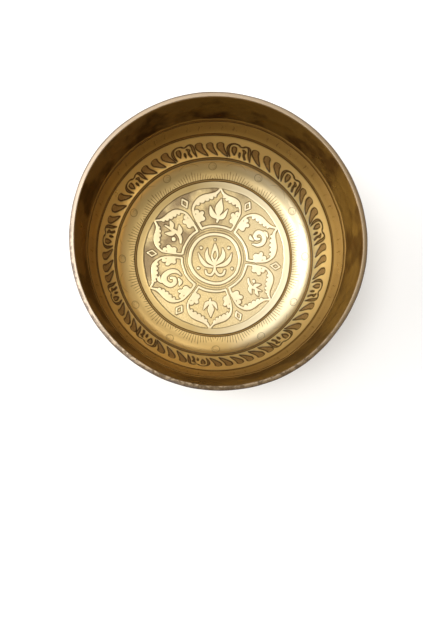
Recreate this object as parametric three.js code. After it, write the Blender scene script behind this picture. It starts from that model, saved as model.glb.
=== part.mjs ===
// A hand-hammered singing bowl: one sheet of brass raised into a bowl, its lip ground flat, with shallow
// lines turned into the inside. Millimetres, +Z up, origin at the middle of the face it rests on.
import * as THREE from "three";

// Driving dimensions
const RIM_DIAMETER = 200;
const HEIGHT = 96;
const WALL = 3.3; // the sheet, and so the width of the lip
const FLOOR_RADIUS = 61; // where the inside floor starts to turn up into the wall
const FLOOR_DISH = 1.0; // how much lower the middle of the inside floor is than that
const FULLNESS = 3; // exponent of the wall's curve: 2 is an ellipse, and more has a rounder, fuller turn
const LIP_CHAMFER = 0.5;

// Lines turned into the inside wall, each at a share of the wall's curve from floor to lip.
const TURNED_LINES = [
  { at: 0.046, width: 2.2, depth: 0.5 }, // round the medallion on the floor
  { at: 0.325, width: 2.0, depth: 0.4 }, // below the leaf border
  { at: 0.67, width: 2.0, depth: 0.4 }, // above it
  { at: 0.835, width: 1.6, depth: 0.3 }, // below the plain top of the wall
];

// Hammering leaves the bowl a little out of round: [waves round the bowl, swing at the lip, start in degrees].
const OUT_OF_ROUND = [
  [2, 0.7, 135],
  [3, 0.3, 20],
  [5, 0.15, 70],
  [7, 0.12, 200],
];

const AROUND = 72;
const OUTER_STEPS = 11;
const INNER_STEPS = 9;
const FLOOR_STEPS = 4;

const lipInnerRadius = RIM_DIAMETER / 2 - WALL;
const insideDepth = HEIGHT - WALL;

// The inside wall's curve, a quarter of a superellipse: share 0 is the floor's edge and 1 is the lip.
function curvePoint(share) {
  const angle = (share * Math.PI) / 2;
  const out = Math.sin(angle) ** (2 / FULLNESS);
  const down = Math.cos(angle) ** (2 / FULLNESS);
  return new THREE.Vector2(
    FLOOR_RADIUS + (lipInnerRadius - FLOOR_RADIUS) * out,
    WALL + insideDepth * (1 - down),
  );
}

// A point on that curve pushed into the metal, square to the curve.
function wallPoint(share, depth = 0) {
  const step = 1e-4;
  const before = curvePoint(Math.max(0, share - step));
  const after = curvePoint(Math.min(1, share + step));
  const along = after.sub(before).normalize();
  const intoMetal = new THREE.Vector2(along.y, -along.x);
  return curvePoint(share).addScaledVector(intoMetal, depth);
}

// The share of the curve at a distance of half a width along it.
function halfShare(line) {
  const step = 1e-3;
  const perShare = curvePoint(line.at + step).distanceTo(curvePoint(line.at)) / step;
  return line.width / 2 / perShare;
}

function evenShares(steps) {
  return Array.from({ length: steps + 1 }, (_, i) => i / steps);
}

function outerProfile() {
  const wall = evenShares(OUTER_STEPS).map((share) => wallPoint(share, WALL));
  const lip = wall.pop();
  return [
    new THREE.Vector2(0, 0),
    new THREE.Vector2(FLOOR_RADIUS / 2, 0),
    ...wall.map((p) => p.setY(Math.max(0, p.y))),
    lip.clone().setY(HEIGHT - LIP_CHAMFER),
    lip.clone().setX(lip.x - LIP_CHAMFER),
  ];
}

// Down the inside: the lip's inner edge, the plain wall with its turned lines, then the dished floor.
function innerProfile() {
  const edge = curvePoint(1);
  const lip = [
    new THREE.Vector2(edge.x + LIP_CHAMFER, HEIGHT),
    new THREE.Vector2(edge.x, HEIGHT - LIP_CHAMFER),
  ];
  const lines = TURNED_LINES.map((line) => ({ ...line, half: halfShare(line) }));
  const clearOfLines = (share) => lines.every((line) => Math.abs(share - line.at) > 1.5 * line.half);
  const plain = evenShares(INNER_STEPS)
    .filter((share) => share < 1 && clearOfLines(share))
    .map((share) => ({ share, depth: 0 }));
  const cut = lines.flatMap(({ at, half, depth }) => [
    { share: at - half, depth: 0 },
    { share: at - half / 2, depth },
    { share: at + half / 2, depth },
    { share: at + half, depth: 0 },
  ]);
  const wall = [...plain, ...cut]
    .sort((a, b) => b.share - a.share)
    .map(({ share, depth }) => wallPoint(share, depth));
  const floor = evenShares(FLOOR_STEPS)
    .slice(1)
    .map((share) => {
      const radius = FLOOR_RADIUS * (1 - share);
      const dish = FLOOR_DISH * (1 - (radius / FLOOR_RADIUS) ** 2);
      return new THREE.Vector2(radius, WALL - dish);
    });
  return [...lip, ...wall, ...floor];
}

// Turns the lathe's Y axis up to Z and pushes the wall out of round, more towards the lip.
function hammered(geometry) {
  geometry.rotateX(Math.PI / 2);
  const position = geometry.getAttribute("position");
  const point = new THREE.Vector3();
  for (let i = 0; i < position.count; i++) {
    point.fromBufferAttribute(position, i);
    const angle = Math.atan2(point.y, point.x);
    const radius = Math.hypot(point.x, point.y);
    const swing = OUT_OF_ROUND.reduce(
      (sum, [waves, size, start]) => sum + size * Math.cos(waves * (angle - THREE.MathUtils.degToRad(start))),
      0,
    );
    const pushed = radius > 0 ? 1 + (swing * (point.z / HEIGHT) ** 2) / radius : 1;
    position.setXYZ(i, point.x * pushed, point.y * pushed, point.z);
  }
  geometry.computeBoundingBox();
  const middle = geometry.boundingBox.getCenter(new THREE.Vector3());
  return geometry.translate(-middle.x, -middle.y, 0);
}

function bowl() {
  const profile = [...outerProfile(), ...innerProfile()];
  const geometry = hammered(new THREE.LatheGeometry(profile, AROUND));
  const brass = new THREE.MeshStandardMaterial({ color: 0xb08d4f, roughness: 0.35, metalness: 1 });
  const mesh = new THREE.Mesh(geometry, brass);
  mesh.name = "bowl";
  return mesh;
}

const singingBowl = new THREE.Group();
singingBowl.add(bowl());

export default singingBowl;
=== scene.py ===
"""A hand-hammered brass singing bowl with an etched lotus medallion, seen from above on a white table."""

import math

import bpy
import numpy as np
from mathutils import Matrix, Vector


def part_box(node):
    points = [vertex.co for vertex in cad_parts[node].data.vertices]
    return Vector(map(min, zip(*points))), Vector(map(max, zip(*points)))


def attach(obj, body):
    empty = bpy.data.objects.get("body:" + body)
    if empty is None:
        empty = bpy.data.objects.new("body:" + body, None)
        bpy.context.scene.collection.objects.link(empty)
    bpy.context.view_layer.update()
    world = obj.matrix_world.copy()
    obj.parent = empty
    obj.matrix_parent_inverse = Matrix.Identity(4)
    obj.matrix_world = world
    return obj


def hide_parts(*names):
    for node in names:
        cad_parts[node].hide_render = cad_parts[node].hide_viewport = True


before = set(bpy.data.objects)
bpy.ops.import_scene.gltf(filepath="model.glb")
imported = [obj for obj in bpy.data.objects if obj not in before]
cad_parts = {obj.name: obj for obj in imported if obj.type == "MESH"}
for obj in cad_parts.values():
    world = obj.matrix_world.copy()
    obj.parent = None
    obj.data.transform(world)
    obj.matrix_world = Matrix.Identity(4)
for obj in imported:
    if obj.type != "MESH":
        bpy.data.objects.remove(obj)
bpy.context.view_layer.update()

# ---------------------------------------- dimensions, in millimetres

MM = 0.001
node_low, node_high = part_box("bowl")
RIM_RADIUS = (node_high[0] - node_low[0]) / 2 / MM
HEIGHT = (node_high[2] - node_low[2]) / MM
WALL = 3.3
FLOOR_RADIUS = 61.0
FLOOR_DISH = 1.0
FULLNESS = 3.0
LIP_INNER = RIM_RADIUS - WALL

# The swing of the rim out of round: waves round the bowl, swing at the lip, start in degrees.
OUT_OF_ROUND = [(2, 0.7, 135), (3, 0.3, 20), (5, 0.15, 70), (7, 0.12, 200)]

# Turned lines inside: share of the wall's curve, width, depth.
MEDALLION_LINE = (0.046, 2.0, 0.35)
BORDER_LOW_LINE = (0.325, 2.6, 0.35)
BORDER_HIGH_LINE = (0.670, 3.2, 0.35)
TOP_LINE = (0.835, 2.6, 0.3)
TOP_BEAD = (0.853, 3.0, -0.15)
TURNED = [MEDALLION_LINE, BORDER_LOW_LINE, BORDER_HIGH_LINE, TOP_LINE]

ETCH_DEPTH = 0.35
COLUMNS = 1536
ROW = 0.36

rng = np.random.default_rng(7)


# ---------------------------------------- small numeric helpers

FAR = 4.0  # distances from a shape are cut off here, in millimetres


def smooth(low, high, value):
    """0 below low and 1 above high, with an even slope between."""
    t = np.clip((value - low) / (high - low), 0, 1)
    return t * t * (3 - 2 * t)


def hairline(distance, half_width):
    """1 on a thin line and 0 away from it."""
    return np.exp(-((distance / half_width) ** 2))


def waves(x, y, size, seed):
    """A smooth uneven field between about -1 and 1, with swells of roughly that size."""
    local = np.random.default_rng(seed)
    count, usual_peak = 7, 3.2
    total = np.zeros_like(x)
    for _ in range(count):
        heading, start = local.uniform(0, 2 * math.pi, 2)
        length = size * local.uniform(0.7, 1.6)
        total += np.sin((x * math.cos(heading) + y * math.sin(heading)) * 2 * math.pi / length + start)
    return total / usual_peak


def through(points, spans=5):
    """A smooth curve through points of (x, y, radius), as a denser list of the same."""
    p = np.array(points, float)
    p = np.vstack([2 * p[0] - p[1], p, 2 * p[-1] - p[-2]])
    out = []
    for i in range(1, len(p) - 2):
        for t in np.arange(spans) / spans:
            a = 2 * p[i]
            b = p[i + 1] - p[i - 1]
            c = 2 * p[i - 1] - 5 * p[i] + 4 * p[i + 1] - p[i + 2]
            d = 3 * p[i] - p[i - 1] - 3 * p[i + 1] + p[i + 2]
            out.append((a + b * t + c * t * t + d * t ** 3) / 2)
    return out + [p[-2]]


def stroke(x, y, points, spans=5):
    """Distance from a tapered brush stroke: negative inside it, and FAR where it isn't near."""
    path = through(points, spans) if len(points) > 2 else [np.array(p, float) for p in points]
    nodes = np.array(path)
    reach = nodes[:, 2].max() + FAR
    low, high = nodes[:, :2].min(0) - reach, nodes[:, :2].max(0) + reach
    near = (x > low[0]) & (x < high[0]) & (y > low[1]) & (y < high[1])
    result = np.full(x.shape, FAR)
    px, py = x[near], y[near]
    best = np.full(px.shape, FAR)
    for (ax, ay, ar), (bx, by, br) in zip(path[:-1], path[1:]):
        dx, dy = bx - ax, by - ay
        t = np.clip(((px - ax) * dx + (py - ay) * dy) / max(dx * dx + dy * dy, 1e-9), 0, 1)
        best = np.minimum(best, np.hypot(px - ax - t * dx, py - ay - t * dy) - ar - t * (br - ar))
    result[near] = best
    return result


def dot(x, y, cx, cy, radius):
    """Distance from a round dot: negative inside it."""
    return np.minimum(np.hypot(x - cx, y - cy) - radius, FAR)


def union(*distances):
    """Distance from several shapes taken together."""
    return np.minimum.reduce(distances)


# ---------------------------------------- the bowl's profile

def wall_curve(share):
    """Radius and height of the inside wall. Share 0 is the floor's edge and 1 is the lip."""
    angle = share * math.pi / 2
    out = np.sin(angle) ** (2 / FULLNESS)
    down = np.cos(angle) ** (2 / FULLNESS)
    return FLOOR_RADIUS + (LIP_INNER - FLOOR_RADIUS) * out, WALL + (HEIGHT - WALL) * (1 - down)


def wall_table():
    """Share, radius, height, distance along the wall and the normal into the hollow, finely spaced."""
    share = np.linspace(0, 1, 6001)
    radius, height = wall_curve(share)
    step = np.hypot(np.diff(radius), np.diff(height))
    along = np.concatenate([[0], np.cumsum(step)])
    out, up = np.gradient(radius, along), np.gradient(height, along)
    size = np.hypot(out, up)
    return share, radius, height, along, -up / size, out / size


SHARE, WALL_R, WALL_Z, WALL_ALONG, WALL_NR, WALL_NZ = wall_table()
WALL_LENGTH = WALL_ALONG[-1]
LIP_AT = FLOOR_RADIUS + WALL_LENGTH  # distance along the inside from its middle to the lip


def along_at(share):
    """Distance along the inside, from its middle, of a share of the wall's curve."""
    return FLOOR_RADIUS + float(np.interp(share, SHARE, WALL_ALONG))


def line_at(line):
    """Distance along the inside, from its middle, of a turned line."""
    return along_at(line[0])


def inside_point(along):
    """Radius, height and normal of the inside at a distance along it from the middle of the floor."""
    on_wall = np.maximum(along - FLOOR_RADIUS, 0)
    radius = np.where(along < FLOOR_RADIUS, along, np.interp(on_wall, WALL_ALONG, WALL_R))
    dish = FLOOR_DISH * (1 - np.minimum(along / FLOOR_RADIUS, 1) ** 2)
    height = np.where(along < FLOOR_RADIUS, WALL - dish, np.interp(on_wall, WALL_ALONG, WALL_Z))
    slope = 2 * FLOOR_DISH * along / FLOOR_RADIUS ** 2
    nr = np.where(along < FLOOR_RADIUS, -slope, np.interp(on_wall, WALL_ALONG, WALL_NR))
    nz = np.where(along < FLOOR_RADIUS, 1.0, np.interp(on_wall, WALL_ALONG, WALL_NZ))
    size = np.hypot(nr, nz)
    return radius, height, nr / size, nz / size


# ---------------------------------------- the etched medallion

# Hand-cut ornament isn't evenly spaced: the angles of the six petals' tips and of the gaps after them,
# in degrees clockwise from +Y.
PETAL_TIPS = [5.8, 64.3, 126.3, 183.4, 244.8, 302.5]
PETAL_GAPS = [32.9, 97.0, 157.3, 214.1, 274.4, 331.7]
HUB_OFF_CENTRE = (1.0, -0.3)
HUB_RING = (20.2, 22.9)
HUB_LINE = 25.1
HUB_SHIFT_FADES = (20, 60)
PETAL_BASE = 28.2
PETAL_BASE_HALF = 13.6
OUTER_RING = (60.7, 65.9)
DIAMOND_AT = 53.8
DIAMOND = [(2.5, 0.0, 0.85), (1.5, 1.7, 0.75), (0.0, 4.0, 0.75)]
HAND_WANDER = 0.3
HAND_WANDER_LENGTH = 17

PETAL_SIDE = [
    (12.6, 25.6, 1.0), (14.4, 28.6, 1.0), (16.3, 32.0, 1.0), (18.4, 36.0, 1.0), (19.9, 40.3, 1.0),
    (19.6, 44.4, 1.1), (18.0, 47.6, 1.7), (15.5, 49.9, 2.4), (12.2, 51.6, 2.6), (8.8, 53.1, 2.2),
    (4.9, 55.2, 1.6), (2.2, 57.5, 1.1), (0.0, 60.8, 0.9),
]
PETAL_SCALLOPS = [(16.4, 46.3, 1.3), (13.4, 48.9, 1.9), (9.9, 50.4, 1.8), (6.6, 52.1, 1.6), (3.9, 54.1, 1.3)]
PETAL_CLOUD = [(15.0, 36.0, 3.1), (12.6, 33.6, 2.3), (15.2, 32.4, 2.4), (13.2, 38.6, 1.9), (17.2, 39.8, 2.0)]

BUD = [
    [(0.0, -8.4, 0.5), (0.4, -5.5, 1.0), (0.0, -2.5, 1.1)],
    [(0.0, -2.5, 1.1), (0.0, 1.8, 3.0), (0.1, 5.6, 1.9), (0.4, 9.2, 0.4)],
    [(0.2, -5.4, 0.9), (-3.8, -3.4, 1.8), (-6.6, 2.0, 0.4)],
    [(0.2, -5.4, 0.9), (3.8, -3.4, 1.8), (6.6, 2.0, 0.4)],
]
PAISLEY = [
    [(0.8, -8.2, 0.5), (4.4, -5.2, 1.3), (5.8, -0.5, 1.7), (3.6, 4.2, 1.9), (-0.8, 5.2, 2.0),
     (-4.4, 2.2, 1.9), (-3.9, -1.8, 1.6), (-0.6, -2.6, 1.3), (1.0, -0.3, 1.0)],
    [(-1.0, 8.0, 0.5), (1.6, 8.8, 1.2), (4.4, 7.8, 0.4)],
    [(-1.4, -5.6, 0.6), (-4.2, -6.4, 1.4), (-6.6, -5.0, 0.4)],
]
SPRIG = [
    [(-3.2, -8.2, 0.7), (-0.4, -5.5, 1.1), (1.0, -1.5, 1.2), (0.2, 3.2, 1.0), (-0.8, 8.2, 0.5)],
    [(0.9, -3.2, 0.7), (3.8, -2.0, 1.7), (6.4, 1.2, 0.4)],
    [(0.6, 0.0, 0.7), (-2.8, 1.4, 1.7), (-5.6, 4.4, 0.4)],
    [(0.1, 3.2, 0.7), (2.8, 5.0, 1.5), (4.4, 8.0, 0.4)],
    [(-4.6, -2.8, 1.3), (-4.2, -2.4, 1.3)],
]

# What each petal holds: strokes, middle across and along the petal, size, tilt in degrees.
PETAL_MOTIFS = [
    (BUD, 0.0, 41.5, 1.15, -6),
    (PAISLEY, 0.5, 42.5, 0.92, 12),
    (SPRIG, -0.5, 42.0, 0.95, 4),
    (BUD, 0.5, 42.5, 0.9, 5),
    (PAISLEY, 0.0, 41.5, 1.1, -10),
    (SPRIG, 0.5, 41.0, 1.15, -8),
]

HUB_FLOWER = [
    [(0.0, -3.5, 1.2), (0.0, 2.0, 3.0), (0.2, 7.5, 2.2), (0.3, 13.0, 0.4)],
    [(1.2, -5.0, 1.0), (5.2, -1.2, 2.1), (7.0, 3.6, 1.8), (6.6, 9.2, 0.4)],
    [(2.0, -7.0, 0.9), (8.0, -5.2, 1.7), (12.0, -1.0, 1.7), (14.6, 5.0, 0.4)],
    [(0.0, -5.0, 1.2), (0.3, -10.0, 1.2), (3.4, -14.2, 1.2), (7.4, -13.4, 1.1), (8.4, -10.2, 0.9)],
]
HUB_HEART = [(0.0, 0.0, 0.3), (0.0, 2.6, 1.3), (0.1, 6.0, 0.3)]
HUB_SEEDS = [(12.0, 9.4, 1.4), (14.6, -8.2, 1.3), (0.0, 16.6, 1.0)]


def petal_angle(clockwise):
    """Turns a real angle into one where petals point at 0, 60, 120... and the gaps lie half way between."""
    real, even = [], []
    for turn in (-1, 0, 1):
        for k in range(6):
            real += [PETAL_TIPS[k] + 360 * turn, PETAL_GAPS[k] + 360 * turn]
            even += [60 * k + 360 * turn, 60 * k + 30 + 360 * turn]
    return np.interp(clockwise, real, even)


def medallion_place(radius, clockwise):
    """Where a floor point lies in the ornament: x and y, moved a little as a hand-cut line wanders."""
    angle = np.radians(clockwise)
    x, y = radius * np.sin(angle), radius * np.cos(angle)
    start, end = HUB_SHIFT_FADES
    off = np.clip(1 - (radius - start) / (end - start), 0, 1)
    x = x - HUB_OFF_CENTRE[0] * off
    y = y - HUB_OFF_CENTRE[1] * off
    sideways = HAND_WANDER * waves(x, y, HAND_WANDER_LENGTH, 3)
    upwards = HAND_WANDER * waves(x, y, HAND_WANDER_LENGTH, 4)
    return x + sideways, y + upwards


def motif(u, v, strokes, across, out, size, tilt):
    """The ornament that one petal holds."""
    c, s = math.cos(math.radians(tilt)), math.sin(math.radians(tilt))
    mx = ((u - across) * c + (v - out) * s) / size
    my = ((v - out) * c - (u - across) * s) / size
    return size * union(*[stroke(mx, my, points) for points in strokes]) - 0.2


def petals(x, y):
    """Distance from the six petals' ribbons, their clouds, what they hold and the diamonds between them."""
    radius = np.hypot(x, y)
    even = petal_angle(np.degrees(np.arctan2(x, y)))
    index = np.round(even / 60)
    local = np.radians(even - 60 * index)
    u, v = radius * np.sin(local), radius * np.cos(local)
    side = np.abs(u)
    ribbon = stroke(side, v, PETAL_SIDE)
    bumps = [dot(side, v, *s) for s in PETAL_SCALLOPS + PETAL_CLOUD]
    base = np.maximum(np.abs(radius - PETAL_BASE) - 1.1, np.abs(np.degrees(local)) * 0.5 - PETAL_BASE_HALF)
    shape = union(ribbon, base, *bumps)
    number = index.astype(int) % 6
    for k, (strokes, across, out, size, tilt) in enumerate(PETAL_MOTIFS):
        here = number == k
        shape[here] = union(shape[here], motif(u[here], v[here], strokes, across, out, size, tilt))
    gap = np.radians(even - 60 * np.floor(even / 60) - 30)
    across, out = np.abs(radius * np.sin(gap)), np.abs(radius * np.cos(gap) - DIAMOND_AT)
    return union(shape, stroke(across, out, DIAMOND))


def hub(x, y):
    """Distance from the ring round the hub and the open flower inside it."""
    radius = np.hypot(x, y)
    ring = np.maximum(HUB_RING[0] - radius, radius - HUB_RING[1])
    side = np.abs(x)
    flower = union(*[stroke(side, y, points) for points in HUB_FLOWER])
    seeds = union(*[dot(side, y, *s) for s in HUB_SEEDS])
    heart = stroke(x, y, HUB_HEART)
    return union(ring, np.maximum(flower, 0.3 - heart), seeds)


def medallion(radius, clockwise):
    """(distance from raised metal, hairline engraving) of the floor's medallion."""
    x, y = medallion_place(radius, clockwise)
    moved = np.hypot(x, y)
    raised = np.minimum(OUTER_RING[0] - moved, FAR)
    raised = union(raised, petals(x, y), hub(x, y))
    line = 0.7 * hairline(moved - HUB_LINE, 0.32)
    return raised, line


# ---------------------------------------- the leaf border

BORDER_MIDDLE = 0.479
SLOT = 360 / 58  # degrees that one leaf takes up
KNOTS = [13.8, 46.2, 77.3, 109.6, 141.9, 189.2, 220.4, 249.2, 280.4, 312.7, 343.8]
SLANT = 0.5
REACH = 14  # no leaf or knot is wider than this to either side
LEAF = [(-2.6, 4.4, 3.0), (-2.2, 1.2, 3.0), (-0.2, -2.4, 2.4), (2.4, -5.4, 1.5), (4.6, -7.8, 0.5)]
KNOT = [
    [(-7.7, -7.2, 0.35), (-9.3, -3.4, 1.0), (-10.0, 1.2, 1.15), (-8.8, 5.4, 0.85), (-5.6, 7.6, 0.65),
     (-2.4, 6.9, 0.6), (-0.6, 5.0, 0.6), (1.3, 5.2, 0.6), (3.3, 6.9, 0.7), (5.5, 6.5, 0.95),
     (6.9, 3.4, 1.2), (7.4, 0.0, 1.35), (8.2, -3.8, 1.1), (9.7, -7.6, 0.3)],
    [(-5.2, 2.5, 1.9), (-4.9, -1.0, 2.0), (-4.3, -4.9, 0.6)],
    [(-0.2, -1.9, 0.7), (0.0, -4.2, 0.95), (0.3, -6.4, 0.3)],
    [(2.2, 2.2, 0.9), (3.5, 0.6, 1.2), (3.3, -1.8, 0.8), (3.6, -4.0, 0.9), (4.9, -6.8, 0.9)],
]


def border_pieces():
    """The clockwise angle and kind of every knot and leaf round the border."""
    pieces = []
    for here, after in zip(KNOTS, KNOTS[1:] + [KNOTS[0] + 360]):
        pieces.append((here, 1))
        count = round((after - here) / SLOT) - 2
        room = after - here - 2.1 * SLOT
        for j in range(count):
            pieces.append((here + 1.05 * SLOT + room * (j + 0.5) / count, 0))
    return sorted((angle % 360, kind) for angle, kind in pieces)


def border(along, clockwise):
    """Distance from the border's cut leaves and knots: negative inside a cut."""
    out = along - along_at(BORDER_MIDDLE)
    middle = float(inside_point(np.array([along_at(BORDER_MIDDLE)]))[0][0])
    pieces = border_pieces()
    angles = np.array([a for a, _ in pieces])
    kinds = np.array([k for _, k in pieces])
    sizes = rng.uniform(0.93, 1.06, len(pieces))
    drift = rng.uniform(-0.35, 0.35, len(pieces))
    sheared = (clockwise + np.degrees(SLANT * out / middle)) % 360
    nearest = np.searchsorted(angles, sheared)
    result = np.full(along.shape, FAR)
    for shift in (-2, -1, 0, 1):
        index = (nearest + shift) % len(pieces)
        turn = (clockwise - angles[index] + 180) % 360 - 180
        across = (np.radians(turn) * middle + drift[index]) / sizes[index]
        up = (out + 0.3 * waves(across * 3, out, 30, 9)) / sizes[index]
        for kind, strokes in ((0, [LEAF]), (1, KNOT)):
            here = (kinds[index] == kind) & (np.abs(across) < REACH)
            cut = union(*[stroke(across[here], up[here], points) for points in strokes])
            result[here] = np.minimum(result[here], cut)
    return result


# ---------------------------------------- hairline engraving on the wall

HAIR = 0.24
FAN = 360 / 12
FAN_START = 14.0
FAN_STROKES = 18
FAN_SPREAD = 0.028  # the share by which a fan widens in each millimetre outwards
OVAL_AT = 11.8
SCALLOP_AT = 16.6
CURLS = 66


def fan_strokes(out, radius, clockwise):
    """Fine strokes that fan out from the medallion's line, longest in the middle of each fan."""
    pitch = FAN / FAN_STROKES
    widening = 1 + FAN_SPREAD * np.maximum(out, 0)
    local = (clockwise - FAN_START + FAN / 2) % FAN - FAN / 2
    place = local / widening / pitch
    index = np.floor(place)
    off = (place - index - 0.5) * np.radians(pitch) * radius * widening
    uneven = 0.9 * np.sin(index * 2.6 + 1.0)
    length = 4.2 + 4.2 * np.cos(np.radians(local * 180 / FAN)) ** 2 + uneven
    return hairline(off, HAIR) * smooth(length + 0.6, length - 1.2, out) * smooth(0.6, 1.4, out)


def fan_ovals(out, radius, clockwise):
    """An open oval with half a curl in it between every two fans."""
    beside = np.radians((clockwise - FAN_START) % FAN - FAN / 2) * radius
    ring = np.hypot(beside / 3.3, (out - OVAL_AT) / 3.1)
    oval = hairline((ring - 1) * 3.2, HAIR)
    loop = np.hypot((beside - 0.8) / 1.5, (out - OVAL_AT + 0.5) / 1.5)
    curl = hairline((loop - 1) * 1.5, HAIR) * smooth(-0.6, 0.4, beside)
    return np.maximum(0.8 * oval, 0.5 * curl)


def fan_scallops(out, radius, clockwise):
    """A shallow arch beyond each fan."""
    beside = np.radians((clockwise - FAN_START + FAN / 2) % FAN - FAN / 2) * radius
    arch = hairline(out - SCALLOP_AT + 0.055 * beside ** 2, HAIR)
    return 0.6 * arch * smooth(9.5, 7.5, np.abs(beside))


def fringe(out, radius, clockwise):
    """The hairlines between the medallion and the leaf border. out is the distance from the medallion."""
    parts = (fan_strokes, fan_ovals, fan_scallops)
    return np.maximum.reduce([part(out, radius, clockwise) for part in parts])


def top_band(out, radius, clockwise):
    """A row of small curls, tails and dots. out is the distance from the band's middle."""
    pitch = 360 / CURLS
    index = np.floor(clockwise / pitch)
    across = np.radians((clockwise % pitch) - pitch / 2) * radius
    turn = np.where(index % 2 == 0, 1.0, -1.0)
    arc = np.hypot((across + 0.9 * turn) / 1.5, (out - 1.0 * turn) / 1.9)
    curl = hairline((arc - 1) * 1.7, 0.26) * smooth(-0.5, 0.6, across * turn + 0.3)
    bend = 0.35 * np.sin(out * 0.8 + index)
    tail = hairline(across - bend, 0.26) * smooth(3.3, 2.3, np.abs(out + 1.4 * turn))
    speck = hairline(np.hypot(across - 2.4, out - 2.2 * turn), 0.42)
    strength = 0.55 + 0.45 * np.sin(index * 1.7)
    return np.maximum.reduce([curl, 0.7 * tail, speck]) * strength


# ---------------------------------------- hammer marks

MARK_SHIFT = 0.35  # how far a mark strays from its place, as a share of the pitch
MARK_FORCE = 0.06
MARK_CURVE = 150.0
MARK_EDGE = 45.0  # the higher, the sharper the edge between two marks


def hammer_marks(around, along, radius, columns, pitch, seed):
    """Depth of overlapping round hammer marks. around is in turns, and along and radius in millimetres."""
    local = np.random.default_rng(seed)
    rows = int(np.ceil((along.max() + 2 * pitch) / pitch)) + 2
    shift = local.uniform(-MARK_SHIFT, MARK_SHIFT, (rows, columns, 2))
    force = local.uniform(-MARK_FORCE, MARK_FORCE, (rows, columns))
    row = np.floor(along / pitch).astype(int) + 1
    column = np.floor(around * columns).astype(int)
    depths = []
    for dr in (-1, 0, 1):
        for dc in (-1, 0, 1):
            r = np.clip(row + dr, 0, rows - 1)
            c = (column + dc) % columns
            middle = column + dc + 0.5 + 0.5 * (r % 2) + shift[r, c, 0]
            across = (around * columns - middle) / columns * 2 * math.pi * radius
            up = along - (r - 0.5 + shift[r, c, 1]) * pitch
            depths.append(force[r, c] - (across ** 2 * 0.75 + up ** 2) / MARK_CURVE)
    return np.log(np.exp(MARK_EDGE * np.array(depths)).sum(0)) / MARK_EDGE


# ---------------------------------------- rings of vertices

def ring_rows():
    """Distances along the inside, and the columns of the ring at each, from the middle out to the lip."""
    fringe_from = line_at(MEDALLION_LINE) + 1.6
    border_from = line_at(BORDER_LOW_LINE) - 1.4
    plain_from = line_at(TOP_BEAD) + 2.0
    # Start, end, spacing in rows, and how many times fewer columns than in the finest rings.
    zones = [
        (0.8, 6.0, 0.8, 8), (6.0, 14.0, 0.45, 4), (14.0, 26.0, 1.0, 2), (26.0, fringe_from, 1.0, 1),
        (fringe_from, border_from, 1.25, 1), (border_from, plain_from, 1.1, 1),
        (plain_from, LIP_AT - 0.8, 2.6, 2),
    ]
    rows = []
    for start, end, spacing, fewer in zones:
        count = max(2, round((end - start) / (ROW * spacing)))
        rows += [(start + (end - start) * i / count, COLUMNS // fewer) for i in range(count)]
    return rows


def inside_rings():
    """The floor and the inside wall, from the middle out to the lip."""
    rows = ring_rows()
    along = np.array([a for a, _ in rows])
    radius, height, nr, nz = inside_point(along)
    return [
        dict(r=radius[i], z=height[i], nr=nr[i], nz=nz[i], n=rows[i][1], along=along[i], part="inside")
        for i in range(len(rows))
    ]


def lip_rings():
    """The flat ground lip, with its inner edge a little broken and its outer edge rounded over."""
    inner, outer = 0.45, 0.7
    rings = []
    for angle in np.radians([10, 35, 60, 85]):
        radius = LIP_INNER + inner - inner * math.cos(angle)
        rings.append((radius, HEIGHT - inner + inner * math.sin(angle), angle))
    for share in np.linspace(0.04, 0.96, 7):
        rings.append((LIP_INNER + inner + (WALL - inner - outer) * share, HEIGHT, math.pi / 2))
    for angle in np.radians([5, 30, 55, 80]):
        radius = RIM_RADIUS - outer + outer * math.sin(angle)
        rings.append((radius, HEIGHT - outer + outer * math.cos(angle), math.pi / 2 + angle))
    return [
        dict(r=r, z=z, nr=-math.cos(a), nz=math.sin(a),
             n=COLUMNS // 2, along=LIP_AT + (r - LIP_INNER), part="lip")
        for r, z, a in rings
    ]


def outside_wall_rings():
    """Down the outside wall, a wall's thickness from the inside."""
    shares = np.linspace(0.992, 0.0, 900)
    r = np.interp(shares, SHARE, WALL_R) - WALL * np.interp(shares, SHARE, WALL_NR)
    z = np.interp(shares, SHARE, WALL_Z) - WALL * np.interp(shares, SHARE, WALL_NZ)
    nr, nz = -np.interp(shares, SHARE, WALL_NR), -np.interp(shares, SHARE, WALL_NZ)
    along = np.concatenate([[0], np.cumsum(np.hypot(np.diff(r), np.diff(z)))])
    return [
        dict(r=np.interp(a, along, r), z=max(0.0, np.interp(a, along, z)), nr=np.interp(a, along, nr),
             nz=np.interp(a, along, nz), n=COLUMNS // 2, along=a, part="outside")
        for a in np.arange(0.4, along[-1], ROW * 2.4)
    ]


def foot_rings(start):
    """In under the flat foot, a millimetre apart. start is how far down the outside the foot's edge is."""
    rings = []
    for outer, inner, fewer in [(FLOOR_RADIUS, 30.0, 4), (30.0, 8.0, 8), (8.0, 1.0, 16)]:
        for radius in np.linspace(outer - 0.8, inner + 0.2, round(outer - inner)):
            along = start + FLOOR_RADIUS - radius
            rings.append(dict(r=radius, z=0.0, nr=0.0, nz=-1.0, n=COLUMNS // fewer, along=along, part="foot"))
    return rings


def doubling_ok(rings):
    """Column counts may only stay, double or halve from ring to ring."""
    pairs = [(here["n"], after["n"]) for here, after in zip(rings, rings[1:])]
    return all(a == b or a == 2 * b or b == 2 * a for a, b in pairs)


# ---------------------------------------- the relief of every surface

PARTS = {"inside": 0, "lip": 1, "outside": 2, "foot": 3}
MASKS = ("recess", "line", "turned", "lip", "darker_side", "outer", "band", "facet")
LIP_DARKER_SIDE = 125  # where the lip is darkest, in degrees clockwise from +Y
INSIDE_MARKS = dict(columns=40, pitch=13.0, seed=21)
OUTSIDE_MARKS = dict(columns=54, pitch=10.5, seed=33)


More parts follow.
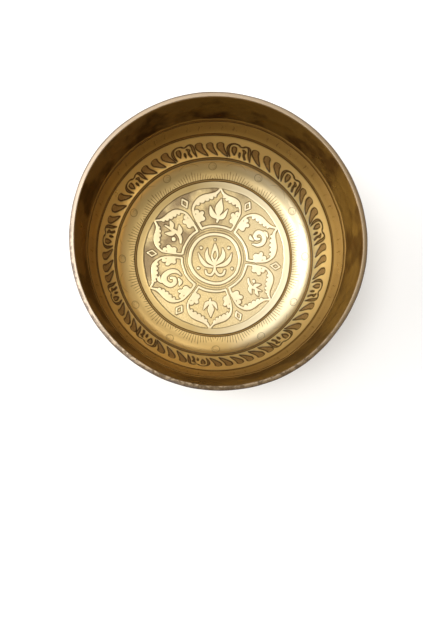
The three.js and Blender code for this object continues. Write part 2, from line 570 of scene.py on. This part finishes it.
def between(line_below, line_above, gap):
    """The distances along the inside that lie between two turned lines, less a gap at each end."""
    return line_at(line_below) + gap, line_at(line_above) - gap


def cut_medallion(along, clockwise, depth, recess, line):
    """Sinks the etched ground of the medallion and outlines what stays raised."""
    on = along < OUTER_RING[1] + 0.5
    raised, engraved = medallion(along[on], clockwise[on])
    cut = smooth(-0.22, 0.22, raised)
    recess[on] = cut
    line[on] = np.maximum(0.65 * hairline(raised - 0.25, 0.34), engraved * cut)
    depth[on] = ETCH_DEPTH * cut - 0.12 * engraved


def turn_lines(along, clockwise, depth, line, turned):
    """Cuts the turned lines, each with a dark edge on both sides, and raises the bead above the last."""
    angle = np.radians(clockwise)
    wander = 0.25 * np.sin(angle * 3 + 1) + 0.15 * np.sin(angle * 7)
    for share, width, deep in TURNED:
        off = (along - along_at(share) - wander) / (width / 2)
        groove = np.clip(1 - off ** 2, 0, 1)
        depth += deep * groove
        np.maximum(turned, smooth(0.0, 0.35, groove), out=turned)
        np.maximum(line, hairline(np.abs(off) - 0.85, 0.36), out=line)
    off = (along - line_at(TOP_BEAD) - wander) / (TOP_BEAD[1] / 2)
    depth += TOP_BEAD[2] * np.clip(1 - off ** 2, 0, 1)
    np.maximum(line, 0.5 * hairline(off - 1.1, 0.3), out=line)


def cut_border(along, clockwise, depth, recess, line):
    """Sinks and outlines the leaves and knots of the border."""
    low, high = between(BORDER_LOW_LINE, BORDER_HIGH_LINE, 1.0)
    on = (along > low) & (along < high)
    cut_to = border(along[on], clockwise[on])
    cut = smooth(0.22, -0.22, cut_to)
    recess[on] = cut
    line[on] = np.maximum(line[on], hairline(cut_to + 0.3, 0.62))
    depth[on] += ETCH_DEPTH * cut


def engrave_hairlines(along, radius, clockwise, depth, line):
    """Scratches the fringe round the medallion and the curls of the narrow band."""
    low, high = between(MEDALLION_LINE, BORDER_LOW_LINE, 0.0)
    on = (along > low) & (along < high)
    fine = fringe(along[on] - low, radius[on], clockwise[on])
    line[on] = np.maximum(line[on], 0.95 * fine)
    depth[on] += 0.02 * fine
    low, high = between(BORDER_HIGH_LINE, TOP_LINE, 2.0)
    on = (along > low) & (along < high)
    curls = top_band(along[on] - (low + high) / 2, radius[on], clockwise[on])
    line[on] = np.maximum(line[on], 0.85 * curls)
    depth[on] += 0.06 * curls


def inside_relief(along, radius, clockwise):
    """Depth into the metal and the masks of the inside."""
    depth, recess, line, turned = np.zeros((4, len(along)))
    cut_medallion(along, clockwise, depth, recess, line)
    turn_lines(along, clockwise, depth, line, turned)
    cut_border(along, clockwise, depth, recess, line)
    engrave_hairlines(along, radius, clockwise, depth, line)
    return depth, recess, line, turned


def inside_swell(along, radius, clockwise):
    """Slow unevenness that the hammer leaves in the inside, most of all above the turned lines."""
    marks = hammer_marks(clockwise / 360, along, radius, **INSIDE_MARKS)
    angle = np.radians(clockwise)
    slow = waves(radius * np.sin(angle), radius * np.cos(angle), 55, 5)
    high = smooth(along_at(0.75), along_at(0.90), along)
    return 0.10 * slow * smooth(64, 78, along) + marks * (0.10 + 0.5 * high) * smooth(67, 84, along)


def inside_surface(v, here, depth, masks):
    """Relief and masks of the floor and the inside wall, which fades to plain metal below the lip."""
    along, radius, clockwise = v["along"][here], v["r"][here], v["clockwise"][here]
    cut, recess, line, turned = inside_relief(along, radius, clockwise)
    masks["recess"][here], masks["line"][here], masks["turned"][here] = recess, line, turned
    masks["band"][here] = smooth(line_at(TOP_BEAD), line_at(TOP_BEAD) + 2.2, along)
    swell = inside_swell(along, radius, clockwise)
    depth[here] = cut + swell * smooth(LIP_AT - 1.0, LIP_AT - 9.0, along)


def lip_surface(v, here, depth, masks):
    """A ground lip that is never quite level, and is darker on one side."""
    angle = np.radians(v["clockwise"][here])
    masks["lip"][here] = 1.0
    masks["darker_side"][here] = smooth(-0.55, 0.6, np.cos(angle - math.radians(LIP_DARKER_SIDE)))
    depth[here] = 0.05 + 0.05 * np.sin(angle * 9) + 0.04 * np.sin(angle * 31 + 2)


def outside_surface(v, here, depth, masks):
    """Hammer marks down the outside wall, and a foot worn nearly smooth."""
    along, radius, clockwise = v["along"][here], v["r"][here], v["clockwise"][here]
    marks = hammer_marks(clockwise / 360, along, radius, **OUTSIDE_MARKS)
    near_lip = smooth(1.0, 10.0, along)
    angle = np.radians(clockwise)
    foot_marks = 0.35 * waves(radius * np.sin(angle), radius * np.cos(angle), 14, 6)
    foot = v["part"][here] == PARTS["foot"]
    relief = np.where(foot, 0.3 + 0.3 * foot_marks, 0.60 + 2.0 * marks * near_lip)
    depth[here] = np.maximum(relief, 0.0)
    masks["outer"][here] = 1.0
    masks["facet"][here] = np.where(foot, 0.0, smooth(-0.06, -0.26, marks) * near_lip)


def surfaces(v):
    """Depth into the metal at every vertex, and the masks that its colours come from."""
    depth = np.zeros(len(v["r"]))
    masks = {name: np.zeros(len(depth)) for name in MASKS}
    inside_surface(v, v["part"] == PARTS["inside"], depth, masks)
    lip_surface(v, v["part"] == PARTS["lip"], depth, masks)
    outside_surface(v, v["part"] >= PARTS["outside"], depth, masks)
    return depth, masks


# ---------------------------------------- the mesh

# The looks are unrolled to two flat discs: 0 for the inside and the lip, and 1 for the outside and the foot.
# Radius and middle of each, as shares of the square that they lie in.
DISCS = [(0.372, 0.376), (0.212, 0.784)]


def vertex_table(rings):
    """Per-vertex values of every ring, with one vertex at the middle of the inside and one under the foot."""
    def column(first, values, last):
        return np.concatenate([[first]] + values + [[last]])

    table = {}
    for key in ("r", "z", "nr", "nz", "along"):
        table[key] = column(0.0, [np.full(g["n"], g[key], float) for g in rings], 0.0)
    table["clockwise"] = column(0.0, [np.arange(g["n"]) * 360.0 / g["n"] for g in rings], 0.0)
    table["part"] = column(0, [np.full(g["n"], PARTS[g["part"]]) for g in rings], PARTS["foot"])
    table["z"][0] = WALL - FLOOR_DISH
    table["nz"][0], table["nz"][-1] = 1.0, -1.0
    table["along"][-1] = rings[-1]["along"] + rings[-1]["r"]
    return table


def ring_faces(rings):
    """Corners of the faces between rings, and their disc: quads, or three triangles where columns halve."""
    starts = 1 + np.concatenate([[0], np.cumsum([g["n"] for g in rings])])
    quads, tris, quad_discs, tri_discs = [], [], [], []
    for a, b, here, after in zip(starts, starts[1:], rings, rings[1:]):
        n, m = here["n"], after["n"]
        disc = 0 if PARTS[after["part"]] < PARTS["outside"] else 1
        j = np.arange(min(n, m))
        k = (j + 1) % len(j)
        if n == m:
            quads.append(np.stack([a + j, a + k, b + k, b + j], 1))
            quad_discs.append(np.full(n, disc))
            continue
        f0, f1, f2 = 2 * j, 2 * j + 1, (2 * j + 2) % max(n, m)
        if m > n:
            new = [(a + j, b + f1, b + f0), (a + j, a + k, b + f1), (a + k, b + f2, b + f1)]
        else:
            new = [(a + f0, a + f1, b + j), (a + f1, b + k, b + j), (a + f1, a + f2, b + k)]
        for face in new:
            tris.append(np.stack(face, 1))
            tri_discs.append(np.full(len(j), disc))
    for disc, middle, start, n in ((0, 0, 1, rings[0]["n"]), (1, starts[-1], starts[-2], rings[-1]["n"])):
        j = np.arange(n)
        k = (j + 1) % n
        edge = (start + k, start + j) if disc == 0 else (start + j, start + k)
        tris.append(np.stack([np.full(n, middle), *edge], 1))
        tri_discs.append(np.full(n, disc))
    return np.vstack(quads), np.vstack(tris), np.concatenate(quad_discs + tri_discs)


def out_of_round(x, y, z):
    """The same swing as the CAD model's wall, then centred as it is."""
    angle = np.arctan2(y, x)
    radius = np.hypot(x, y)
    swing = sum(size * np.cos(n * (angle - math.radians(start))) for n, size, start in OUT_OF_ROUND)
    pushed = 1 + swing * (z / HEIGHT) ** 2 / np.maximum(radius, 1e-6)
    x, y = x * pushed, y * pushed
    return x - (x.max() + x.min()) / 2, y - (y.max() + y.min()) / 2


def vertex_places(v, depth):
    """Where every vertex lies, in metres, once the relief is cut and the bowl is out of round."""
    angle = np.radians(v["clockwise"])
    r = v["r"] - v["nr"] * depth
    z = np.maximum(v["z"] - v["nz"] * depth, 0.0)
    z = z - z.min()
    x, y = out_of_round(r * np.sin(angle), r * np.cos(angle), z)
    return np.stack([x, y, z], 1) * MM


def new_mesh(places, quads, tris):
    """A smooth mesh, the vertex at each corner of its faces, and the number of corners of each face."""
    corners = np.concatenate([quads.ravel(), tris.ravel()])
    totals = np.concatenate([np.full(len(quads), 4), np.full(len(tris), 3)])
    starts = np.concatenate([[0], np.cumsum(totals)[:-1]])
    mesh = bpy.data.meshes.new("bowl_hammered")
    mesh.vertices.add(len(places))
    mesh.vertices.foreach_set("co", places.astype(np.float32).ravel())
    mesh.loops.add(len(corners))
    mesh.loops.foreach_set("vertex_index", corners.astype(np.int32))
    mesh.polygons.add(len(totals))
    mesh.polygons.foreach_set("loop_start", starts.astype(np.int32))
    mesh.update(calc_edges=True)
    mesh.polygons.foreach_set("use_smooth", np.ones(len(totals), bool))
    return mesh, corners, totals


def on_disc(disc, share, clockwise):
    """The flat place of a point that lies at a share of its disc's radius."""
    size, middle = DISCS[disc]
    angle = np.radians(clockwise)
    share = np.clip(share, 0, 1)
    return np.stack([middle + size * share * np.sin(angle), middle + size * share * np.cos(angle)], 1)


def unroll(mesh, v, corners, corner_disc):
    """Lays every face flat on its disc, for the looks to be baked to."""
    inside = on_disc(0, v["along"] / (LIP_AT + WALL), v["clockwise"])
    outside = on_disc(1, 1 - v["along"] / v["along"][-1], v["clockwise"])
    lip = v["part"] == PARTS["lip"]
    outside[lip] = on_disc(1, 1.0, v["clockwise"][lip])
    flat = np.where((corner_disc == 0)[:, None], inside[corners], outside[corners])
    mesh.uv_layers.new(name="OFBake").data.foreach_set("uv", flat.astype(np.float32).ravel())


def build_bowl():
    """The bowl: its mesh, its flat layout, and the masks that its material reads."""
    wall = inside_rings() + lip_rings() + outside_wall_rings()
    rings = wall + foot_rings(wall[-1]["along"])
    if not doubling_ok(rings):
        raise ValueError("a ring's column count neither stays, doubles nor halves")
    v = vertex_table(rings)
    depth, masks = surfaces(v)
    quads, tris, face_discs = ring_faces(rings)
    mesh, corners, totals = new_mesh(vertex_places(v, depth), quads, tris)
    unroll(mesh, v, corners, np.repeat(face_discs, totals))
    for name, values in {**masks, "along": v["along"]}.items():
        layer = mesh.attributes.new(name, "FLOAT", "POINT")
        layer.data.foreach_set("value", values.astype(np.float32))
    mesh.validate()
    bowl = bpy.data.objects.new("bowl_hammered", mesh)
    bpy.context.collection.objects.link(bowl)
    return bowl


# ---------------------------------------- materials

class Nodes:
    """Short calls for building a node tree."""

    def __init__(self, material):
        material.use_nodes = True
        self.tree = material.node_tree
        self.tree.nodes.clear()

    def add(self, kind, inputs=None, **settings):
        node = self.tree.nodes.new(kind)
        for key, value in settings.items():
            setattr(node, key, value)
        for key, value in (inputs or {}).items():
            self.plug(node.inputs[key], value)
        return node

    def plug(self, socket, value):
        if isinstance(value, bpy.types.NodeSocket):
            self.tree.links.new(value, socket)
        else:
            socket.default_value = value

    def mask(self, name):
        return self.add("ShaderNodeAttribute", attribute_name=name).outputs["Fac"]

    def math(self, operation, a, b):
        return self.add("ShaderNodeMath", {0: a, 1: b}, operation=operation).outputs[0]

    def both(self, a, b):
        """One mask times another, or times a number."""
        return self.math("MULTIPLY", a, b)

    def noise(self, vector, scale, detail=3.0, rough=0.55):
        inputs = {"Vector": vector, "Scale": scale, "Detail": detail, "Roughness": rough}
        return self.add("ShaderNodeTexNoise", inputs).outputs["Fac"]

    def ramp(self, value, low, high, to_low=0.0, to_high=1.0):
        """to_low up to low, to_high from high on, and evenly from one to the other in between."""
        inputs = {"Value": value, "From Min": low, "From Max": high, "To Min": to_low, "To Max": to_high}
        return self.add("ShaderNodeMapRange", inputs, clamp=True).outputs["Result"]

    def stretch(self, value, start, full, fade, end):
        """1 from full to fade, and 0 up to start and from end on."""
        return self.both(self.ramp(value, start, full), self.ramp(value, end, fade))

    def mix(self, share, a, b):
        """Colour a at share 0, and colour b at 1."""
        node = self.add("ShaderNodeMix", data_type="RGBA")
        self.plug(node.inputs[0], share)
        for socket, value in ((node.inputs[6], a), (node.inputs[7], b)):
            self.plug(socket, (*value, 1.0) if isinstance(value, tuple) else value)
        return node.outputs[2]

    def blend(self, share, a, b):
        """Number a at share 0, and number b at 1."""
        node = self.add("ShaderNodeMix", data_type="FLOAT")
        for socket, value in ((node.inputs[0], share), (node.inputs[2], a), (node.inputs[3], b)):
            self.plug(socket, value)
        return node.outputs[0]

    def bump(self, height, strength, distance, normal=None):
        inputs = {"Height": height, "Strength": strength, "Distance": distance}
        if normal:
            inputs["Normal"] = normal
        return self.add("ShaderNodeBump", inputs).outputs["Normal"]


# Colours of the brass, as linear red, green and blue. The names say where on the bowl each one is, and
# left and right are the sides towards -X and +X. The sides differ because some of the window's shine is in
# these colours. For evenly coloured brass, give both sides of a pair the same colour.
GOLD, GOLD_DARKER, GOLD_STREAK = (0.76, 0.57, 0.26), (0.66, 0.485, 0.215), (0.52, 0.37, 0.155)
MEDALLION_LEFT, MEDALLION_RIGHT_HIGHLIGHT, MEDALLION_CLOUD = (0.73, 0.605, 0.36), (0.95, 0.82, 0.57), (0.62, 0.49, 0.26)
EDGE_LEFT, EDGE_RIGHT_HIGHLIGHT, EDGE_FAR_SHADE = (0.56, 0.375, 0.135), (0.66, 0.57, 0.36), (0.36, 0.255, 0.105)
RISE_LEFT, RISE_RIGHT_HIGHLIGHT = (0.78, 0.51, 0.175), (1.0, 0.87, 0.58)
RING_LEFT_SHADE, RING_RIGHT_HIGHLIGHT = (0.40, 0.285, 0.115), (1.0, 0.90, 0.64)
BORDER_GOLD, BORDER_RIGHT_HIGHLIGHT = (1.0, 0.82, 0.47), (1.0, 0.92, 0.62)
UPPER_GOLD, UPPER_RIGHT_SHADE = (0.32, 0.20, 0.065), (0.27, 0.18, 0.075)
ETCHED, ETCHED_DARKER = (0.72, 0.565, 0.29), (0.58, 0.44, 0.205)
ETCHED_RIGHT_HIGHLIGHT, ETCHED_DARK_REFLECTION = (0.82, 0.70, 0.45), (0.20, 0.135, 0.075)
LEAF_TAN, LEAF_DARKER = (0.57, 0.40, 0.20), (0.37, 0.25, 0.118)
SCORED, SCORED_DARKER, LINE_DARK = (0.34, 0.205, 0.066), (0.22, 0.125, 0.042), (0.055, 0.028, 0.009)
BROWN, BROWN_LEFT_HIGHLIGHT, BROWN_RIGHT_SHADE = (0.120, 0.073, 0.027), (0.160, 0.100, 0.050), (0.086, 0.052, 0.022)
BLOTCH = (0.037, 0.018, 0.015)
LIP, LIP_DARKER, LIP_LEFT_HIGHLIGHT = (0.50, 0.39, 0.27), (0.37, 0.28, 0.185), (0.52, 0.43, 0.335)
LIP_SIDE_DARK, LIP_SIDE_DARKER, LIP_OUTER_EDGE = (0.30, 0.21, 0.11), (0.14, 0.09, 0.045), (0.13, 0.095, 0.075)
LIP_CHIPPED, LIP_PITTED = (0.12, 0.095, 0.08), (0.105, 0.068, 0.035)
AGED, AGED_DARKER, AGED_SPECK = (0.52, 0.355, 0.145), (0.35, 0.225, 0.092), (0.12, 0.075, 0.04)
RIDGE_GOLD = (0.66, 0.475, 0.205)
GRAZING_TINT, GRAZING_TINT_BROWN = (1.0, 0.90, 0.74), (0.80, 0.67, 0.49)


class Surroundings:
    """The places, masks and noises that the parts of the brass share."""

    def __init__(self, n):
        self.place = n.add("ShaderNodeTexCoord").outputs["Object"]
        apart = n.add("ShaderNodeSeparateXYZ", {0: self.place}).outputs
        self.x, self.y = apart[0], apart[1]
        self.along = n.mask("along")
        self.masks = {name: n.mask(name) for name in MASKS}
        turn = n.math("ARCTAN2", self.x, self.y)
        streaks = {0: n.both(turn, 6.0), 1: n.both(self.along, 2.2)}
        self.polar = n.add("ShaderNodeCombineXYZ", streaks).outputs[0]
        self.patches = n.noise(self.place, 26.0, 4.0)
        self.grain = n.noise(self.place, 900.0, 2.0, 0.7)
        self.cloud = n.noise(self.place, 70.0, 5.0, 0.6)
        self.stains = n.noise(self.place, 45.0, 6.0, 0.65)
        self.brushed = n.noise(self.polar, 1.0, 4.0, 0.7)
        # far_right is where painted shade goes on the upper wall and in the brown band below the lip.
        self.far_right = n.ramp(self.x, 0.03, 0.085)
        border = line_at(BORDER_LOW_LINE)
        ring = OUTER_RING[0]
        self.floor_edge = n.stretch(self.along, ring, ring + 2.0, border - 8.0, border - 1.0)


def floor_gold(n, at):
    """Raised metal from the middle to the foot of the wall, paler to the right with painted highlight and
    darker at the far edge and on the ring's left with painted shade.
    """
    gold = n.mix(n.ramp(at.patches, 0.35, 0.65), GOLD, GOLD_DARKER)
    gold = n.mix(n.both(n.ramp(at.brushed, 0.45, 0.75), 0.25), gold, GOLD_STREAK)
    # Painted highlight: the medallion's raised metal is paler to the right.
    pale = n.mix(n.ramp(at.x, -0.03, 0.04), MEDALLION_LEFT, MEDALLION_RIGHT_HIGHLIGHT)
    pale = n.mix(n.ramp(at.cloud, 0.4, 0.65, 0.0, 0.35), pale, MEDALLION_CLOUD)
    gold = n.mix(n.ramp(at.along, OUTER_RING[0] + 0.6, OUTER_RING[0] - 1.2), gold, pale)
    # Painted highlight on the right of the floor's edge, which is darker to the left.
    edge = n.mix(n.ramp(at.x, 0.0, 0.05), EDGE_LEFT, EDGE_RIGHT_HIGHLIGHT)
    gold = n.mix(n.both(at.floor_edge, 0.7), gold, edge)
    border = line_at(BORDER_LOW_LINE)
    rise = n.stretch(at.along, border - 16.0, border - 8.0, border - 3.0, border - 0.5)
    gold = n.mix(n.both(rise, n.ramp(at.x, 0.06, 0.0, 0.0, 0.5)), gold, RISE_LEFT)
    # Painted highlight on the right at the foot of the wall.
    gold = n.mix(n.both(rise, n.ramp(at.x, 0.01, 0.05, 0.0, 0.8)), gold, RISE_RIGHT_HIGHLIGHT)
    # Painted shade at the far edge of the floor.
    gold = n.mix(n.both(at.floor_edge, n.ramp(at.y, 0.015, 0.065, 0.0, 0.65)), gold, EDGE_FAR_SHADE)
    on_ring = n.stretch(at.along, OUTER_RING[0] - 0.8, OUTER_RING[0], OUTER_RING[1], OUTER_RING[1] + 1.0)
    # Painted shade on the ring's left and painted highlight on its right.
    ring = n.mix(n.ramp(at.x, -0.02, 0.055), RING_LEFT_SHADE, RING_RIGHT_HIGHLIGHT)
    return n.mix(n.both(on_ring, 0.8), gold, ring)


def wall_gold(n, at, gold):
    """Raised metal of the wall: bright in the leaf border, most at its low right where a highlight is
    painted, and darker above it, with painted shade to the far right.
    """
    low, high = line_at(BORDER_LOW_LINE), line_at(BORDER_HIGH_LINE)
    on_border = n.stretch(at.along, low, low + 2.0, high - 4.0, high)
    gold = n.mix(n.both(on_border, 0.9), gold, BORDER_GOLD)
    gold = n.mix(n.ramp(at.along, high - 4.0, high + 9.0, 0.0, 0.75), gold, UPPER_GOLD)
    upper = n.ramp(at.along, low + 6.0, high)
    # Painted shade on the upper wall to the far right.
    gold = n.mix(n.both(upper, n.both(at.far_right, 0.45)), gold, UPPER_RIGHT_SHADE)
    # Painted highlight at the low right of the leaf border.
    lit = n.stretch(at.along, low - 1.0, low + 1.0, low + 4.0, low + 10.0)
    lit = n.both(lit, n.ramp(at.x, 0.0, 0.05))
    return n.mix(n.both(lit, 0.9), gold, BORDER_RIGHT_HIGHLIGHT)


def etched_ground(n, at):
    """The sunk ground: grainy tan on the floor, paler to the right with a painted highlight and darkened far
    and left by a painted dark reflection, and browner in the wall's leaves.
    """
    graininess = n.ramp(at.grain, 0.3, 0.7)
    etched = n.mix(graininess, ETCHED, ETCHED_DARKER)
    # Painted highlight on the etched ground to the right.
    etched = n.mix(n.ramp(at.x, 0.0, 0.05, 0.0, 0.6), etched, ETCHED_RIGHT_HIGHLIGHT)
    # A painted dark reflection darkens the etched ground far and left.
    far_left = n.ramp(n.math("SUBTRACT", at.y, at.x), 0.0, 0.045)
    dark_reflection = n.both(n.ramp(n.noise(at.place, 42.0, 3.0), 0.42, 0.58), far_left)
    etched = n.mix(n.both(dark_reflection, 0.8), etched, ETCHED_DARK_REFLECTION)
    leaves = n.mix(graininess, LEAF_TAN, LEAF_DARKER)
    return n.mix(n.ramp(at.along, 74.0, 84.0), etched, leaves)


def darken_lines(n, at, colour):
    """Browns the turned lines and darkens every hairline."""
    scores = n.ramp(n.noise(at.polar, 9.0, 2.0), 0.35, 0.65)
    colour = n.mix(n.both(at.masks["turned"], 0.92), colour, n.mix(scores, SCORED, SCORED_DARKER))
    filled = n.both(at.masks["line"], n.ramp(at.cloud, 0.2, 0.6, 0.75, 1.0))
    return n.mix(filled, colour, LINE_DARK)


def brown_band(n, at, colour):
    """The brown band below the lip, with dark blotches, paler on the left with painted highlight and darker
    on the far right with painted shade.
    """
    band = at.masks["band"]
    # Painted highlight makes the band paler on the left, and painted shade makes it darker on the far right.
    brown = n.mix(n.ramp(at.x, -0.01, -0.06), BROWN, BROWN_LEFT_HIGHLIGHT)
    brown = n.mix(at.far_right, brown, BROWN_RIGHT_SHADE)
    colour = n.mix(n.both(band, 0.88), colour, brown)
    moved = n.add("ShaderNodeMapping", {"Vector": at.place, "Location": (0.031, 0.012, 0.0)}).outputs[0]
    blotch = n.both(band, n.ramp(n.noise(moved, 36.0, 3.0, 0.55), 0.47, 0.59))
    return n.mix(n.both(blotch, 0.95), colour, BLOTCH)


def ground_lip(n, at):
    """The ground lip: scuffed, darker on one side, paler on its left with a painted highlight, chipped near
    left and pitted in front.
    """
    scuffs = n.ramp(n.noise(at.polar, 5.0, 3.0), 0.35, 0.7)
    # Painted highlight on the lip's left.
    left = n.both(n.ramp(at.x, -0.055, -0.095), n.ramp(scuffs, 0.0, 1.0, 1.0, 0.6))
    ground = n.mix(left, n.mix(scuffs, LIP, LIP_DARKER), LIP_LEFT_HIGHLIGHT)
    side_dark = n.mix(scuffs, LIP_SIDE_DARK, LIP_SIDE_DARKER)
    outer_half = n.ramp(at.along, LIP_AT + 0.9, LIP_AT + 1.5)
    ground = n.mix(n.both(at.masks["darker_side"], n.blend(outer_half, 0.4, 1.0)), ground, side_dark)
    ground = n.mix(n.ramp(at.along, LIP_AT + 1.9, LIP_AT + 2.8, 0.0, 0.85), ground, LIP_OUTER_EDGE)
    near_left = n.ramp(n.math("ADD", at.x, at.y), -0.06, -0.115)
    chipped = n.both(near_left, n.ramp(at.along, LIP_AT + 1.0, LIP_AT + 1.8))
    chipped = n.both(chipped, n.ramp(n.noise(at.place, 260.0, 3.0), 0.38, 0.56))
    ground = n.mix(n.both(chipped, 0.85), ground, LIP_CHIPPED)
    in_front = n.ramp(at.y, -0.045, -0.080)
    pitted = n.both(in_front, n.ramp(n.noise(at.place, 330.0, 4.0, 0.65), 0.44, 0.56))
    return n.mix(n.both(pitted, 0.85), ground, LIP_PITTED)


def aged_outside(n, at):
    """The outside: stained brass with dark specks, brighter on the ridges between the hammer marks."""
    aged = n.mix(n.ramp(at.stains, 0.38, 0.66), AGED, AGED_DARKER)
    aged = n.mix(n.ramp(n.noise(at.place, 160.0, 4.0), 0.60, 0.75, 0.0, 0.6), aged, AGED_SPECK)
    return n.mix(n.both(at.masks["facet"], 0.5), aged, RIDGE_GOLD)


def roughness(n, at):
    """Smooth outside and on raised metal, and rougher where etched, scored or ground."""
    rough = n.blend(at.masks["recess"], n.ramp(at.patches, 0.3, 0.7, 0.27, 0.35), 0.45)
    rough = n.blend(n.both(at.floor_edge, 0.8), rough, 0.42)
    rough = n.blend(at.masks["turned"], rough, 0.5)
    rough = n.blend(at.masks["line"], rough, 0.62)
    rough = n.blend(at.masks["lip"], rough, n.ramp(at.brushed, 0.3, 0.7, 0.42, 0.58))
    return n.blend(at.masks["outer"], rough, n.ramp(at.stains, 0.35, 0.65, 0.15, 0.27))


def brass_material():
    """Old brass: polished inside, tan where etched, dark in the lines, brown near the lip, aged outside, with
    painted highlights and painted shade that differ from side to side.
    """
    material = bpy.data.materials.new("brass_etched")
    n = Nodes(material)
    at = Surroundings(n)
    colour = wall_gold(n, at, floor_gold(n, at))
    colour = n.mix(at.masks["recess"], colour, etched_ground(n, at))
    colour = brown_band(n, at, darken_lines(n, at, colour))
    colour = n.mix(at.masks["lip"], colour, ground_lip(n, at))
    colour = n.mix(at.masks["outer"], colour, aged_outside(n, at))
    pores = n.bump(at.grain, n.blend(at.masks["recess"], 0.0, 0.7), 0.00025)
    shader = n.add("ShaderNodeBsdfPrincipled", {
        "Base Color": colour,
        "Roughness": roughness(n, at),
        "Normal": n.bump(at.brushed, 0.04, 0.0002, pores),
        "Metallic": 1.0,
        "Specular Tint": n.mix(at.masks["band"], GRAZING_TINT, GRAZING_TINT_BROWN),
    })
    n.add("ShaderNodeOutputMaterial", {"Surface": shader.outputs[0]})
    return material


def table_material():
    """Matt white, very slightly uneven."""
    material = bpy.data.materials.new("white_table")
    n = Nodes(material)
    place = n.add("ShaderNodeTexCoord").outputs["Object"]
    white = n.mix(n.noise(place, 3.0), (0.95, 0.945, 0.935), (0.93, 0.925, 0.915))
    shader = n.add("ShaderNodeBsdfPrincipled", {"Base Color": white, "Roughness": 0.6})
    n.add("ShaderNodeOutputMaterial", {"Surface": shader.outputs[0]})
    return material


# ---------------------------------------- table, light and camera

TABLE_REACH = 4.0
TABLE_GAP = 0.0004  # the table lies this far below the foot, in metres


def table_top():
    """A plain white table, much wider than the bowl."""
    mesh = bpy.data.meshes.new("table_top")
    corners = [(x * TABLE_REACH, y * TABLE_REACH, 0) for x, y in ((-1, -1), (1, -1), (1, 1), (-1, 1))]
    mesh.from_pydata(corners, [], [(0, 1, 2, 3)])
    table = bpy.data.objects.new("table_top", mesh)
    table.location.z = -TABLE_GAP
    table.data.materials.append(table_material())
    bpy.context.collection.objects.link(table)


# Soft boxes round the bowl: name, tilt from overhead and heading clockwise from +Y in degrees, width and
# height in metres, watts.
SOFT_BOX_AWAY = 1.5
SOFT_BOXES = [
    ("window", 60, 275, 1.8, 0.75, 17.0),
    ("window_high", 20, 274, 0.50, 0.50, 7.0),
    ("window_corner", 34, 328, 0.60, 0.60, 1.8),
    ("far_side", 60, 25, 1.6, 0.7, 5.6),
    ("ceiling", 15, 50, 0.50, 0.50, 1.2),
]


def soft_box(name, tilt, heading, width, height, power):
    """One oval light that faces the bowl."""
    light = bpy.data.lights.new(name, "AREA")
    light.shape = "ELLIPSE"
    light.size, light.size_y = width, height
    light.energy = power
    lamp = bpy.data.objects.new(name, light)
    tilt, heading = math.radians(tilt), math.radians(heading)
    level = math.sin(tilt)
    out = Vector((level * math.sin(heading), level * math.cos(heading), math.cos(tilt)))
    lamp.location = SOFT_BOX_AWAY * out
    lamp.rotation_mode = "QUATERNION"
    lamp.rotation_quaternion = (-out).to_track_quat("-Z", "Y")
    bpy.context.collection.objects.link(lamp)


def studio():
    """Even light from all round, and the soft boxes."""
    world = bpy.data.worlds.new("studio")
    bpy.context.scene.world = world
    world.use_nodes = True
    back = world.node_tree.nodes["Background"]
    back.inputs["Color"].default_value = (1.0, 0.98, 0.95, 1)
    back.inputs["Strength"].default_value = 0.60
    for box in SOFT_BOXES:
        soft_box(*box)


CAMERA_AT = (-0.0163, -0.0506, 0.4094)
CAMERA_LEAN = math.radians(1.95)
CAMERA_LENS = 26.7


def camera():
    """Straight down from above the near left of the bowl, leaning very slightly to the right."""
    data = bpy.data.cameras.new("camera")
    data.lens = CAMERA_LENS
    data.sensor_width = 36.0
    cam = bpy.data.objects.new("camera", data)
    back = Vector((-math.sin(CAMERA_LEAN), 0, math.cos(CAMERA_LEAN)))
    up = Vector((0, 1, 0))
    right = up.cross(back)
    turn = Matrix((right, up, back)).transposed()
    cam.matrix_world = Matrix.Translation(CAMERA_AT) @ turn.to_4x4()
    bpy.context.collection.objects.link(cam)
    bpy.context.scene.camera = cam


camera()
bowl = build_bowl()
bowl.data.materials.append(brass_material())
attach(bowl, "root")
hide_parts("bowl")
table_top()
studio()

scene = bpy.context.scene
scene.view_settings.view_transform = "Standard"
scene.view_settings.look = "None"
